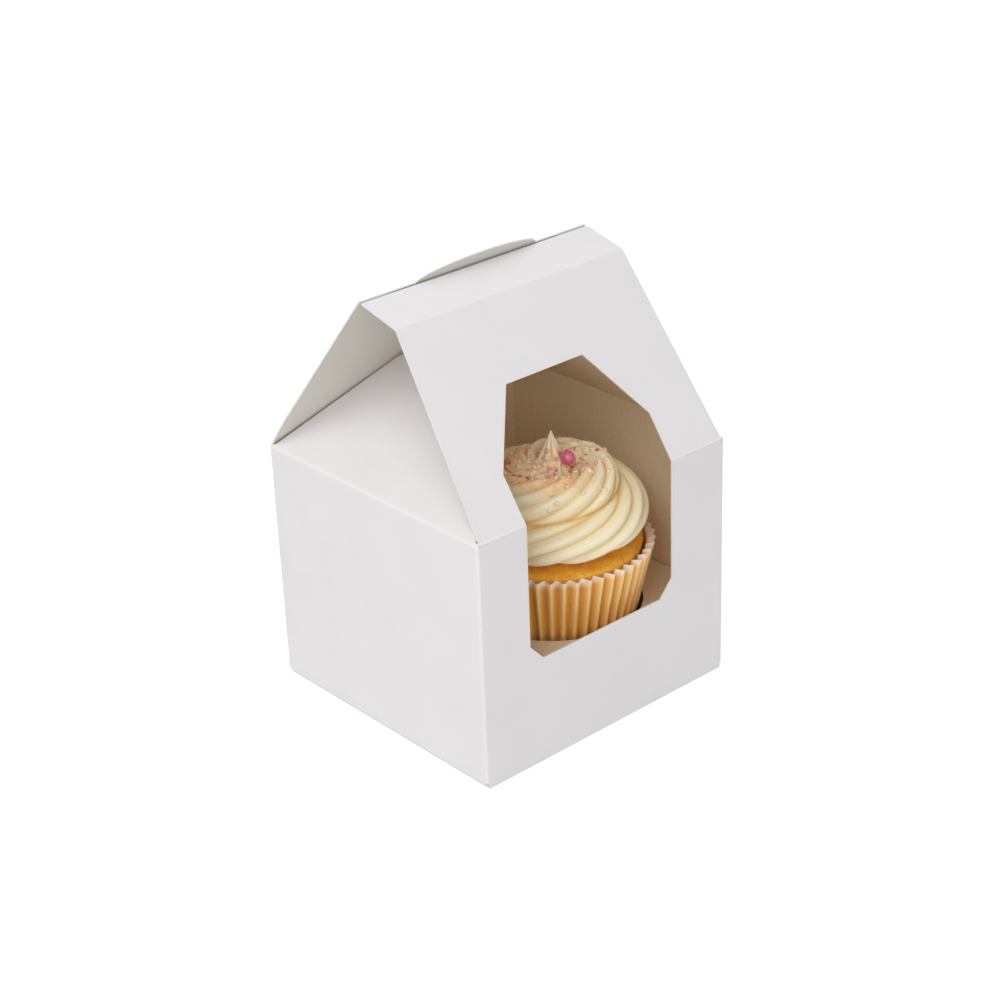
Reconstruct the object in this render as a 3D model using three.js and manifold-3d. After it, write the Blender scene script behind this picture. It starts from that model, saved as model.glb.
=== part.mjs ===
// Window carton for one cupcake with a folding gable lid, millimetres, Z up.
// X runs along the window wall, Y from the window wall to the back wall,
// and the origin lies under the middle of the base.

import * as THREE from 'three'
import { mergeVertices } from 'three/addons/utils/BufferGeometryUtils.js'
import Module from 'manifold-3d'

const wasm = await Module()
wasm.setup()

// Board and clearances
const BOARD = 0.5
const FOLD_RADIUS = 1
const FOLD_STEPS = 5
const PLY_GAP = 0.3
const HINGE_GAP = 0.25

// Walls
const WIDTH = 100
const DEPTH = 96
const WALL_HEIGHT = 80
const SEAM_WIDTH = 14
const SEAM_SLANT = 4

// Base
const BASE_TUCK_HEIGHT = 14
const BASE_FLAP_LENGTH = 44
const BASE_FLAP_INSET = 1.5
const BASE_FLAP_SLANT = 3

// Roof, whose slopes keep their share of the depth
const FRONT_SLOPE = DEPTH * 0.675
const FRONT_PITCH = 54.7
const BACK_SLOPE = DEPTH * 0.7375
const BACK_PITCH = 53.5
const RIDGE_INSET = 5.6
const LID_EAVE_INSET = 1.2
const BACK_STRAIGHT = 12
const TUCK_LENGTH = 20
const TUCK_INSET = 12
const TUCK_TAPER = 5
const TUCK_GAP = 0.45
const TUCK_CORNER = 6
const TAB_WIDTH = 47
const TAB_HEIGHT = 5.2

// Gusset flaps under the roof
const LEFT_GUSSET_PITCH = 32.5
const RIGHT_GUSSET_PITCH = 48
const GUSSET_BACK_LENGTH = 48
const GUSSET_FRONT_LENGTH = 22
const GUSSET_GAP = 0.6
const GUSSET_CORNER = 6

// Window, cut through the front wall and the lid
const WINDOW_SHIFT = -2
const WINDOW_WIDTH = 58.6
const WINDOW_SILL = 35
const SILL_CUT_WIDTH = 5
const SILL_CUT_HEIGHT = 5.5
const WINDOW_SIDE = 15.9
const WINDOW_TOP = 39.4
const WINDOW_TOP_WIDTH = 30.2

// Insert with a round hole
const INSERT_HEIGHT = 28
const HOLE_RADIUS = 27.5
const HOLE_STEPS = 72

// Cupcake place
const CAKE_X = 9.6
const CAKE_Y = -14.4

// Pleated paper cup
const CUP_HEIGHT = 47.8
const CUP_BASE_RADIUS = 19.4
const CUP_RIM_RADIUS = 30.2
const CUP_PAPER = 0.6
const PLEATS = 48
const PLEAT_DEPTH_BASE = 0.7
const PLEAT_DEPTH_RIM = 1.6

// Sponge
const SPONGE_RISE = 3.6
const SPONGE_BULGE = 0.9

// Frosting
const FROSTING_RADIUS = 28.6
const FROSTING_HEIGHT = 31.9
const FROSTING_EDGE = 12
const FROSTING_STEPS = 120
const FROSTING_ROWS = 40
const RIDGES_A_TURN = 12.5
const RIDGE_HEIGHT = 2.1
const RIDGE_LEAD = 64
const ROPE_HEIGHT = 1.6
const ROPE_LEAD = 19
const ROPE_START = -46.4

// Pearl
const PEARL_RADIUS = 2.25
const PEARL_X = 0.9
const PEARL_Y = -6.3
const PEARL_LEVEL = 0.7

const rad = THREE.MathUtils.degToRad
const halfWidth = WIDTH / 2
const halfDepth = DEPTH / 2
const front = new THREE.Vector2(Math.cos(rad(FRONT_PITCH)), Math.sin(rad(FRONT_PITCH)))
const back = new THREE.Vector2(-Math.cos(rad(BACK_PITCH)), Math.sin(rad(BACK_PITCH)))
const frontEave = new THREE.Vector2(-halfDepth, WALL_HEIGHT)
const backEave = new THREE.Vector2(halfDepth, WALL_HEIGHT)
const ridgeFront = frontEave.clone().addScaledVector(front, FRONT_SLOPE)
const ridgeBack = backEave.clone().addScaledVector(back, BACK_SLOPE)

// Closed solids and their placing

function solid(geometry) {
  geometry.deleteAttribute('normal')
  geometry.deleteAttribute('uv')
  const welded = mergeVertices(geometry, 1e-5)
  return new wasm.Manifold(new wasm.Mesh({
    numProp: 3,
    vertProperties: new Float32Array(welded.attributes.position.array),
    triVerts: new Uint32Array(welded.index.array),
  }))
}

function slab(shape, from, to, frame, steps = FOLD_STEPS) {
  const geometry = new THREE.ExtrudeGeometry(shape, {
    depth: to - from, bevelEnabled: false, curveSegments: steps,
  })
  geometry.translate(0, 0, from)
  return solid(geometry.applyMatrix4(frame))
}

function frameOf(u, v, origin = [0, 0, 0]) {
  const a = new THREE.Vector3(...u)
  const b = new THREE.Vector3(...v)
  const frame = new THREE.Matrix4().makeBasis(a, b, a.clone().cross(b))
  return frame.setPosition(...origin)
}

const alongX = frameOf([0, 1, 0], [0, 0, 1])
const alongY = frameOf([1, 0, 0], [0, 0, 1])
const alongZ = frameOf([1, 0, 0], [0, 1, 0])

function outline(points) {
  return new THREE.Shape(points.map(([x, y]) => new THREE.Vector2(x, y)))
}

function rounded(points) {
  // Each point is x, y and a corner radius
  const shape = new THREE.Shape()
  points.forEach(([x, y, r], i) => {
    const p = new THREE.Vector2(x, y)
    const before = new THREE.Vector2(...points.at(i - 1)).sub(p).setLength(r)
    const after = new THREE.Vector2(...points[(i + 1) % points.length]).sub(p).setLength(r)
    const start = p.clone().add(before)
    if (i === 0) shape.moveTo(start.x, start.y)
    else shape.lineTo(start.x, start.y)
    if (r > 0) shape.quadraticCurveTo(x, y, x + after.x, y + after.y)
  })
  return shape
}

function folded(points) {
  // Board that follows an outer line, all folds to the left, thickness to the left
  const shape = new THREE.Shape()
  const way = points.slice(1).map((p, i) => p.clone().sub(points[i]).normalize())
  const left = way.map((d) => new THREE.Vector2(-d.y, d.x))
  const folds = way.slice(1).map((d, i) => {
    const turn = Math.acos(way[i].dot(d))
    const centre = points[i + 1].clone()
      .addScaledVector(way[i], -FOLD_RADIUS * Math.tan(turn / 2))
      .addScaledVector(left[i], FOLD_RADIUS)
    const start = Math.atan2(-left[i].y, -left[i].x)
    return { centre, start, end: start + turn }
  })
  shape.moveTo(points[0].x, points[0].y)
  for (const { centre, start, end } of folds) {
    shape.absarc(centre.x, centre.y, FOLD_RADIUS, start, end, false)
  }
  const last = points.at(-1)
  shape.lineTo(last.x, last.y)
  shape.lineTo(last.x + left.at(-1).x * BOARD, last.y + left.at(-1).y * BOARD)
  for (const { centre, start, end } of folds.toReversed()) {
    shape.absarc(centre.x, centre.y, FOLD_RADIUS - BOARD, end, start, true)
  }
  shape.lineTo(points[0].x + left[0].x * BOARD, points[0].y + left[0].y * BOARD)
  return shape
}

function roundedBox(halfX, halfY, radius) {
  const shape = new THREE.Shape()
  shape.absarc(halfX - radius, halfY - radius, radius, 0, Math.PI / 2)
  shape.absarc(radius - halfX, halfY - radius, radius, Math.PI / 2, Math.PI)
  shape.absarc(radius - halfX, radius - halfY, radius, Math.PI, 1.5 * Math.PI)
  shape.absarc(halfX - radius, radius - halfY, radius, 1.5 * Math.PI, 2 * Math.PI)
  return shape
}

function mesh(name, body, colour, roughness) {
  const { numProp, vertProperties, triVerts } = body.getMesh()
  const geometry = new THREE.BufferGeometry()
  const positions = new Float32Array((vertProperties.length / numProp) * 3)
  for (let i = 0; i < positions.length / 3; i++) {
    positions.set(vertProperties.subarray(i * numProp, i * numProp + 3), i * 3)
  }
  geometry.setAttribute('position', new THREE.BufferAttribute(positions, 3))
  geometry.setIndex(new THREE.BufferAttribute(new Uint32Array(triVerts), 1))
  geometry.computeVertexNormals()
  const material = new THREE.MeshStandardMaterial({ color: colour, roughness, metalness: 0 })
  const node = new THREE.Mesh(geometry, material)
  node.name = name
  return node
}

// Outlines of the roof panels, across and up each slope

const windowHalf = WINDOW_WIDTH / 2
const windowTopHalf = WINDOW_TOP_WIDTH / 2
const ridgeHalf = halfWidth - RIDGE_INSET
const frontFrame = frameOf([1, 0, 0], [0, front.x, front.y], [0, frontEave.x, frontEave.y])
const backFrame = frameOf([1, 0, 0], [0, back.x, back.y], [0, backEave.x, backEave.y])

function lidWindow() {
  return outline([
    [WINDOW_SHIFT - windowHalf, -FOLD_RADIUS], [WINDOW_SHIFT + windowHalf, -FOLD_RADIUS],
    [WINDOW_SHIFT + windowHalf, WINDOW_SIDE], [WINDOW_SHIFT + windowTopHalf, WINDOW_TOP],
    [WINDOW_SHIFT - windowTopHalf, WINDOW_TOP], [WINDOW_SHIFT - windowHalf, WINDOW_SIDE],
  ])
}

function wallWindow() {
  const low = WINDOW_SILL
  const cut = low + SILL_CUT_HEIGHT
  const narrow = windowHalf - SILL_CUT_WIDTH
  return outline([
    [WINDOW_SHIFT - narrow, low], [WINDOW_SHIFT + narrow, low],
    [WINDOW_SHIFT + windowHalf, cut], [WINDOW_SHIFT + windowHalf, WALL_HEIGHT + FOLD_RADIUS],
    [WINDOW_SHIFT - windowHalf, WALL_HEIGHT + FOLD_RADIUS], [WINDOW_SHIFT - windowHalf, cut],
  ])
}

function backPanel() {
  // The free top edge ends in a shallow arched tab that stands up behind the ridge
  const low = FOLD_RADIUS / 2
  const eave = halfWidth - FOLD_RADIUS / 2
  const tabHalf = TAB_WIDTH / 2
  const shape = new THREE.Shape()
  shape.moveTo(-eave, low)
  shape.lineTo(eave, low)
  shape.lineTo(eave, BACK_STRAIGHT)
  shape.lineTo(ridgeHalf, BACK_SLOPE)
  shape.lineTo(tabHalf, BACK_SLOPE)
  shape.bezierCurveTo(
    tabHalf, BACK_SLOPE + TAB_HEIGHT * 0.6, tabHalf * 0.45, BACK_SLOPE + TAB_HEIGHT,
    0, BACK_SLOPE + TAB_HEIGHT,
  )
  shape.bezierCurveTo(
    -tabHalf * 0.45, BACK_SLOPE + TAB_HEIGHT, -tabHalf, BACK_SLOPE + TAB_HEIGHT * 0.6,
    -tabHalf, BACK_SLOPE,
  )
  shape.lineTo(-ridgeHalf, BACK_SLOPE)
  shape.lineTo(-eave, BACK_STRAIGHT)
  return shape
}

// Carton sheet: walls, base, gusset flaps and back slope in one piece

function sideSheet(pitch) {
  // Base flap, wall and gusset flap of a right-hand side, from base to roof
  const flapFloor = BOARD + PLY_GAP
  const up = new THREE.Vector2(-Math.cos(rad(pitch)), Math.sin(rad(pitch)))
  const eave = new THREE.Vector2(halfWidth, WALL_HEIGHT)
  const line = [
    new THREE.Vector2(halfWidth - BASE_FLAP_LENGTH, flapFloor),
    new THREE.Vector2(halfWidth, flapFloor),
    eave,
    eave.clone().addScaledVector(up, GUSSET_BACK_LENGTH),
  ]
  const half = halfDepth - FOLD_RADIUS
  const sheet = slab(folded(line), -half, half, alongY)

  // The gusset flap narrows with the roof that lies on it
  const frontLean = Math.sin(rad(pitch)) / Math.tan(rad(FRONT_PITCH))
  const backLean = Math.sin(rad(pitch)) / Math.tan(rad(BACK_PITCH))
  const frontGap = (BOARD + GUSSET_GAP) / Math.sin(rad(FRONT_PITCH))
  const backGap = (BOARD + GUSSET_GAP) / Math.sin(rad(BACK_PITCH))
  const far = GUSSET_BACK_LENGTH
  const near = GUSSET_FRONT_LENGTH
  const flap = rounded([
    [-halfDepth, -3 * FOLD_RADIUS, 0], [halfDepth, -3 * FOLD_RADIUS, 0],
    [halfDepth, 0, 0], [halfDepth - backGap, 0, 0],
    [halfDepth - backGap - backLean * far, far, GUSSET_CORNER],
    [-halfDepth + frontGap + frontLean * near, near, GUSSET_CORNER],
    [-halfDepth + frontGap, 0, 0], [-halfDepth, 0, 0],
  ])
  const gussetFrame = frameOf([0, 1, 0], [up.x, 0, up.y], [eave.x, 0, eave.y])
  const side = halfDepth - BASE_FLAP_INSET
  const baseFlap = outline([
    [halfWidth, -halfDepth], [halfWidth, halfDepth],
    [halfWidth - 3 * FOLD_RADIUS, halfDepth], [halfWidth - 3 * FOLD_RADIUS, side],
    [halfWidth - BASE_FLAP_LENGTH, side - BASE_FLAP_SLANT],
    [halfWidth - BASE_FLAP_LENGTH, -side + BASE_FLAP_SLANT],
    [halfWidth - 3 * FOLD_RADIUS, -side], [halfWidth - 3 * FOLD_RADIUS, -halfDepth],
  ])
  const keepTop = slab(flap, -3 * FOLD_RADIUS, 3 * FOLD_RADIUS, gussetFrame)
  const keepWall = wasm.Manifold.cube([WIDTH, DEPTH, WALL_HEIGHT - 5 * FOLD_RADIUS])
    .translate([halfWidth - 3 * FOLD_RADIUS, -halfDepth, 4 * FOLD_RADIUS])
  const keepBase = slab(baseFlap, 0, 4 * FOLD_RADIUS, alongZ)
  const keep = keepTop.add(keepWall).add(keepBase)
  return sheet.intersect(keep)
}

function cartonSheet() {
  const shell = roundedBox(halfWidth, halfDepth, FOLD_RADIUS)
  shell.holes.push(roundedBox(halfWidth - BOARD, halfDepth - BOARD, FOLD_RADIUS - BOARD))
  const low = BOARD + PLY_GAP + FOLD_RADIUS
  const high = WALL_HEIGHT - BOARD / 2 - HINGE_GAP
  const flat = halfWidth - FOLD_RADIUS
  const bodies = [slab(shell, low, high, alongZ)]

  // The front wall runs down to the table in front of the tucked base
  const apron = wasm.Manifold.cube([2 * flat, BOARD, low + FOLD_RADIUS])
  bodies.push(apron.translate([-flat, -halfDepth, 0]))

  // Base panel from its tuck flap to the back wall, then the back slope's fold
  const tuckY = -halfDepth + BOARD + PLY_GAP
  const baseLine = [
    new THREE.Vector2(tuckY, BASE_TUCK_HEIGHT), new THREE.Vector2(tuckY, 0),
    new THREE.Vector2(halfDepth, 0), new THREE.Vector2(halfDepth, 2 * low),
  ]
  bodies.push(slab(folded(baseLine), -flat, flat, alongX))
  const foldLine = [
    new THREE.Vector2(halfDepth, WALL_HEIGHT - 3 * FOLD_RADIUS), backEave,
    backEave.clone().addScaledVector(back, 2 * FOLD_RADIUS),
  ]
  bodies.push(slab(folded(foldLine), -flat, flat, alongX))
  bodies.push(slab(backPanel(), 0, BOARD, backFrame, 16))

  bodies.push(sideSheet(RIGHT_GUSSET_PITCH), sideSheet(LEFT_GUSSET_PITCH).mirror([1, 0, 0]))

  // Glued seam flap inside the left wall at the back corner
  const seamLow = low + FOLD_RADIUS
  const seamHigh = WALL_HEIGHT - 3 * FOLD_RADIUS
  const seam = outline([
    [halfDepth - BOARD, seamLow], [halfDepth - BOARD, seamHigh],
    [halfDepth - BOARD - SEAM_WIDTH, seamHigh - SEAM_SLANT],
    [halfDepth - BOARD - SEAM_WIDTH, seamLow + SEAM_SLANT],
  ])
  const wall = -halfWidth + BOARD
  bodies.push(slab(seam, wall - BOARD / 2, wall + BOARD, alongX))

  const opening = slab(wallWindow(), halfDepth - 2 * FOLD_RADIUS, halfDepth + FOLD_RADIUS, alongY)
  return bodies.reduce((sum, body) => sum.add(body)).subtract(opening)
}

// Lid: front slope, ridge strip and tuck flap, hinged on the front wall

function lidSheet() {
  const tuckNormal = new THREE.Vector2(-back.y, back.x)
  const inner = ridgeBack.clone().addScaledVector(tuckNormal, BOARD + TUCK_GAP)
  const strip = ridgeBack.clone().sub(ridgeFront).normalize()
  // The back crease is where the strip's plane meets the plane just inside the back slope
  const reach = inner.clone().sub(ridgeFront).cross(back) / strip.cross(back)
  const crease = ridgeFront.clone().addScaledVector(strip, reach)
  const line = [
    crease.clone().addScaledVector(back, -TUCK_LENGTH), crease, ridgeFront, frontEave,
  ]
  const sheet = slab(folded(line), -halfWidth, halfWidth, alongX)

  const eaveHalf = halfWidth - LID_EAVE_INSET
  const panel = outline([
    [-eaveHalf, BOARD / 2], [eaveHalf, BOARD / 2],
    [ridgeHalf, FRONT_SLOPE], [ridgeHalf, FRONT_SLOPE + FOLD_RADIUS],
    [-ridgeHalf, FRONT_SLOPE + FOLD_RADIUS], [-ridgeHalf, FRONT_SLOPE],
  ])
  const keepFront = slab(panel, -FOLD_RADIUS - BOARD, FOLD_RADIUS, frontFrame)
  const top = ridgeFront.y - 2 * FOLD_RADIUS
  const ridgeBox = wasm.Manifold.cube([2 * ridgeHalf, DEPTH, DEPTH])
    .translate([-ridgeHalf, ridgeFront.x, top])
  const flapHalf = ridgeHalf - TUCK_INSET
  const flap = rounded([
    [-ridgeHalf, 3 * FOLD_RADIUS, 0], [-ridgeHalf, 0, 0], [-flapHalf, -FOLD_RADIUS, 0],
    [-flapHalf + TUCK_TAPER, -TUCK_LENGTH, TUCK_CORNER],
    [flapHalf - TUCK_TAPER, -TUCK_LENGTH, TUCK_CORNER],
    [flapHalf, -FOLD_RADIUS, 0], [ridgeHalf, 0, 0], [ridgeHalf, 3 * FOLD_RADIUS, 0],
  ].reverse())
  const creaseFrame = frameOf([1, 0, 0], [0, back.x, back.y], [0, crease.x, crease.y])
  const keepFlap = slab(flap, -4 * FOLD_RADIUS, 4 * FOLD_RADIUS, creaseFrame)
  const stripDepth = crease.x - ridgeFront.x - 4 * FOLD_RADIUS
  const keepStrip = wasm.Manifold.cube([2 * ridgeHalf, stripDepth, 4 * DEPTH])
    .translate([-ridgeHalf, ridgeFront.x, 0])
  const keepRidge = ridgeBox.intersect(keepStrip).add(keepFlap)
  const bead = wasm.Manifold.cylinder(2 * eaveHalf, BOARD / 2, BOARD / 2, 16, true)
    .rotate([0, 90, 0])
    .translate([0, frontEave.x + BOARD / 2, frontEave.y])
  const body = sheet.intersect(keepFront.add(keepRidge)).add(bead)
  return body.subtract(slab(lidWindow(), -3 * BOARD, 3 * BOARD, frontFrame))
}

// Insert: a raised platform on two legs, with the hole that holds the cup

function insertSheet() {
  const frontY = -halfDepth + 2 * (BOARD + PLY_GAP)
  const backY = halfDepth - BOARD - PLY_GAP
  const foot = 2 * (BOARD + PLY_GAP)
  const line = [
    new THREE.Vector2(backY, foot), new THREE.Vector2(backY, INSERT_HEIGHT),
    new THREE.Vector2(frontY, INSERT_HEIGHT), new THREE.Vector2(frontY, foot),
  ]
  const half = halfWidth - 2 * BOARD - PLY_GAP
  const hole = new THREE.Shape().absarc(CAKE_X, CAKE_Y, HOLE_RADIUS, 0, 2 * Math.PI)
  const cut = slab(hole, INSERT_HEIGHT - 3 * BOARD, INSERT_HEIGHT + BOARD, alongZ, HOLE_STEPS)
  return slab(folded(line), -half, half, alongX).subtract(cut)
}

// Cupcake

const cupFloor = 2 * (BOARD + PLY_GAP)
const cupRim = cupFloor + CUP_HEIGHT

function cupRadius(z) {
  const t = (z - cupFloor) / CUP_HEIGHT
  return THREE.MathUtils.lerp(CUP_BASE_RADIUS, CUP_RIM_RADIUS, t)
}

function pleatDepth(z) {
  const t = (z - cupFloor) / CUP_HEIGHT
  return THREE.MathUtils.lerp(PLEAT_DEPTH_BASE, PLEAT_DEPTH_RIM, t)
}

function rings(rows, steps, at) {
  // Closed body from rings of points, each end closed by a fan on the axis
  const points = []
  const faces = []
  const ends = [at(0, 0).z, at(rows - 1, 0).z]
  for (let i = 0; i < rows; i++) {
    for (let k = 0; k < steps; k++) {
      const angle = (2 * Math.PI * k) / steps
      const { r, z } = at(i, angle, k)
      points.push(r * Math.cos(angle), r * Math.sin(angle), z)
    }
  }
  const low = points.length / 3
  points.push(0, 0, ends[0], 0, 0, ends[1])
  for (let k = 0; k < steps; k++) {
    const next = (k + 1) % steps
    faces.push(low, next, k)
    for (let i = 0; i + 1 < rows; i++) {
      const a = i * steps + k
      const b = i * steps + next
      faces.push(a, b, b + steps, a, b + steps, a + steps)
    }
    const last = (rows - 1) * steps
    faces.push(last + k, last + next, low + 1)
  }
  return new wasm.Manifold(new wasm.Mesh({
    numProp: 3, vertProperties: new Float32Array(points), triVerts: new Uint32Array(faces),
  })).translate([CAKE_X, CAKE_Y, 0])
}

function cup() {
  // Outside up to the rim, then down the inside to the cup's floor
  const inside = cupFloor + CUP_PAPER
  const heights = [cupFloor, cupRim, cupRim, inside]
  return rings(4, 4 * PLEATS, (i, angle, k) => {
    const z = heights[i]
    const paper = i < 2 ? 0 : CUP_PAPER
    return { r: cupRadius(z) - paper + pleatDepth(z) * Math.cos((k * Math.PI) / 2), z }
  })
}

function spongeRadius(z) {
  return cupRadius(z) - pleatDepth(z) - CUP_PAPER - PLY_GAP
}

const spongeTop = cupRim + SPONGE_RISE

function sponge() {
  const foot = cupFloor + CUP_PAPER + PLY_GAP
  const shoulder = cupRim - SPONGE_BULGE
  const side = spongeRadius(shoulder)
  const profile = new THREE.Path()
  profile.moveTo(0, foot)
  profile.lineTo(spongeRadius(foot), foot)
  profile.lineTo(side, shoulder)
  profile.bezierCurveTo(
    side + SPONGE_BULGE, cupRim + SPONGE_BULGE, side * 0.98, cupRim + SPONGE_RISE * 0.6,
    side * 0.8, cupRim + SPONGE_RISE * 0.85,
  )
  profile.quadraticCurveTo(side * 0.5, spongeTop, 0, spongeTop)
  const points = profile.getPoints(6)
  points[0].x = 0
  points.at(-1).x = 0
  const lathe = new THREE.LatheGeometry([...points, points[0].clone()], 72)
  lathe.rotateX(Math.PI / 2)
  return solid(lathe).translate([CAKE_X, CAKE_Y, 0])
}

// Outer line of the piped frosting from its underside to its peak, as shares of its size
const frostingFloor = spongeTop + PLY_GAP
const frostingLine = [
  [0.77, 0], [0.95, 0.025], [1, 0.17], [0.951, 0.31], [0.86, 0.439], [0.741, 0.564],
  [0.615, 0.665], [0.49, 0.702], [0.332, 0.677], [0.196, 0.665], [0.105, 0.765],
  [0.045, 0.897], [0.005, 1],
].map(([r, z]) => new THREE.Vector2(r * FROSTING_RADIUS, frostingFloor + z * FROSTING_HEIGHT))

function frosting() {
  const curve = new THREE.SplineCurve(frostingLine)
  const length = curve.getLength()
  return rings(FROSTING_ROWS, FROSTING_STEPS, (i, angle) => {
    const t = i / (FROSTING_ROWS - 1)
    const p = curve.getPointAt(t)
    const way = curve.getTangentAt(t)
    const travel = t * length
    // The rope lies in turns, and the ridges of the star nozzle climb round it,
    // on each turn half a ridge out of step with the turn below
    const coil = angle - (2 * Math.PI * travel) / ROPE_LEAD + rad(ROPE_START)
    const rope = Math.abs(Math.cos(coil / 2))
    const turn = Math.floor(coil / (2 * Math.PI) + 0.5)
    const phase = RIDGES_A_TURN * (angle - (2 * Math.PI * travel) / RIDGE_LEAD) + turn * Math.PI
    const ridge = Math.abs(Math.sin(phase / 2)) * Math.sqrt(rope)
    const fade = Math.min(1, p.x / FROSTING_EDGE) * Math.min(1, t * 12)
    const swell = fade * (RIDGE_HEIGHT * (ridge - 0.7) + ROPE_HEIGHT * (rope - 0.7))
    return { r: Math.max(p.x * 0.5, p.x + way.y * swell), z: p.y - way.x * swell }
  })
}

const pearlSeat = frostingFloor + PEARL_LEVEL * FROSTING_HEIGHT + PEARL_RADIUS
const pearl = wasm.Manifold.sphere(PEARL_RADIUS, 32)
  .translate([CAKE_X + PEARL_X, CAKE_Y + PEARL_Y, pearlSeat])

const pack = new THREE.Group()
pack.name = 'cupcake_box'
pack.add(
  mesh('carton', cartonSheet(), 0xe9e9ea, 0.6),
  mesh('lid', lidSheet(), 0xe9e9ea, 0.6),
  mesh('insert', insertSheet(), 0xe4ddd0, 0.7),
  mesh('cup', cup(), 0xe2c9a4, 0.75),
  mesh('sponge', sponge(), 0xc98430, 0.85),
  mesh('frosting', frosting(), 0xf0e2c4, 0.5),
  mesh('pearl', pearl, 0xd0607c, 0.25),
)

export default pack
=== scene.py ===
"""Dressed model of a window carton with one cupcake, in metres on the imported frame."""

import logging
import math
from dataclasses import dataclass, field
from enum import Enum

import bmesh
import bpy
import numpy as np
from mathutils import Matrix, Vector, noise


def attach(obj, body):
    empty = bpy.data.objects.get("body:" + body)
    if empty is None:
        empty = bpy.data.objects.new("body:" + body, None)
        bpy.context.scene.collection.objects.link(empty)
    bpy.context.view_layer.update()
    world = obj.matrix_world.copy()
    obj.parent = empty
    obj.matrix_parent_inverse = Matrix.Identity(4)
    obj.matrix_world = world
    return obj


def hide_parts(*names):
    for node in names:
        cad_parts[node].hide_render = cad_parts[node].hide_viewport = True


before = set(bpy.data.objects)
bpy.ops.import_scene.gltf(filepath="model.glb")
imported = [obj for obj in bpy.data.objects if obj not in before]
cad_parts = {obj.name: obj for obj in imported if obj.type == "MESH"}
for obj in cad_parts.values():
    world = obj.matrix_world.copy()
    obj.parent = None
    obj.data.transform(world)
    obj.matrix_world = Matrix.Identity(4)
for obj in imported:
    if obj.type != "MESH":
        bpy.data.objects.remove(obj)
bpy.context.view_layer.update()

LOG = logging.getLogger("cupcake_box")
MM = 0.001
Socket = bpy.types.NodeSocket
Tree = bpy.types.NodeTree

# Sizes in mm that several pieces share, as in the CAD
HALF_WIDTH = 50.0
HALF_DEPTH = 48.0
EAVE = 80.0
BOARD = 0.5
CAKE_X = 9.6
CAKE_Y = -14.4
CUP_FLOOR = 1.6
CUP_HEIGHT = 47.8


def linear(code: str) -> tuple[float, float, float, float]:
    """Turns an sRGB colour to linear light.

    Args:
        code: Colour as "#RRGGBB".

    Returns:
        Linear red, green, blue and an alpha of 1.
    """
    parts = [int(code[i:i + 2], 16) / 255 for i in (1, 3, 5)]
    light = [c / 12.92 if c <= 0.04045 else ((c + 0.055) / 1.055) ** 2.4 for c in parts]
    return (light[0], light[1], light[2], 1.0)


def add_node(tree: Tree, kind: str, inputs: dict | None = None,
             **settings: object) -> bpy.types.Node:
    """Adds a node with its settings, and feeds its inputs.

    Args:
        tree: Node tree that gets the node.
        kind: Blender's name of the node type.
        inputs: Input name or number to a value, or to the socket or node that feeds it.
        settings: Properties of the node.

    Returns:
        The new node.
    """
    node = tree.nodes.new(kind)
    for name, value in settings.items():
        setattr(node, name, value)
    for key, value in (inputs or {}).items():
        if isinstance(value, bpy.types.Node):
            value = next(socket for socket in value.outputs if socket.enabled)
        if isinstance(value, Socket):
            tree.links.new(value, node.inputs[key])
        else:
            node.inputs[key].default_value = value
    return node


def empty_material(name: str) -> tuple[bpy.types.Material, Tree]:
    """Makes a material without nodes.

    Args:
        name: Name of the material.

    Returns:
        The material and its node tree.
    """
    material = bpy.data.materials.new(name)
    material.use_nodes = True
    material.node_tree.nodes.clear()
    return material, material.node_tree


def finished(material: bpy.types.Material, surface: dict) -> bpy.types.Material:
    """Closes a material with its surface and its output.

    Args:
        material: The material.
        surface: Inputs of the surface, as add_node takes them.

    Returns:
        The same material.
    """
    shader = add_node(material.node_tree, "ShaderNodeBsdfPrincipled", surface)
    add_node(material.node_tree, "ShaderNodeOutputMaterial", {"Surface": shader})
    return material


def link(name: str, data: bpy.types.ID) -> bpy.types.Object:
    """Puts new data in the scene as an object at the origin.

    Args:
        name: Name of the object.
        data: Mesh, light or camera.

    Returns:
        The object.
    """
    thing = bpy.data.objects.new(name, data)
    bpy.context.scene.collection.objects.link(thing)
    return thing


def closed_mesh(name: str, body: bmesh.types.BMesh) -> bpy.types.Mesh:
    """Keeps a worked body as a mesh whose faces point out.

    Args:
        name: Name of the mesh.
        body: The worked body. It is freed.

    Returns:
        The mesh.
    """
    bmesh.ops.recalc_face_normals(body, faces=body.faces[:])
    mesh = bpy.data.meshes.new(name)
    body.to_mesh(mesh)
    body.free()
    return mesh


def modifier_tree(name: str, inputs: dict[str, str]) -> bpy.types.GeometryNodeTree:
    """Makes a tree for a modifier, with geometry in and out and named inputs.

    Args:
        name: Name of the tree.
        inputs: Input name to its kind, Int or Float.

    Returns:
        The tree, still without nodes.
    """
    tree = bpy.data.node_groups.new(name, "GeometryNodeTree")
    tree.interface.new_socket("Geometry", in_out="INPUT", socket_type="NodeSocketGeometry")
    for label, kind in inputs.items():
        tree.interface.new_socket(label, in_out="INPUT", socket_type=f"NodeSocket{kind}")
    tree.interface.new_socket("Geometry", in_out="OUTPUT", socket_type="NodeSocketGeometry")
    return tree


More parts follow.
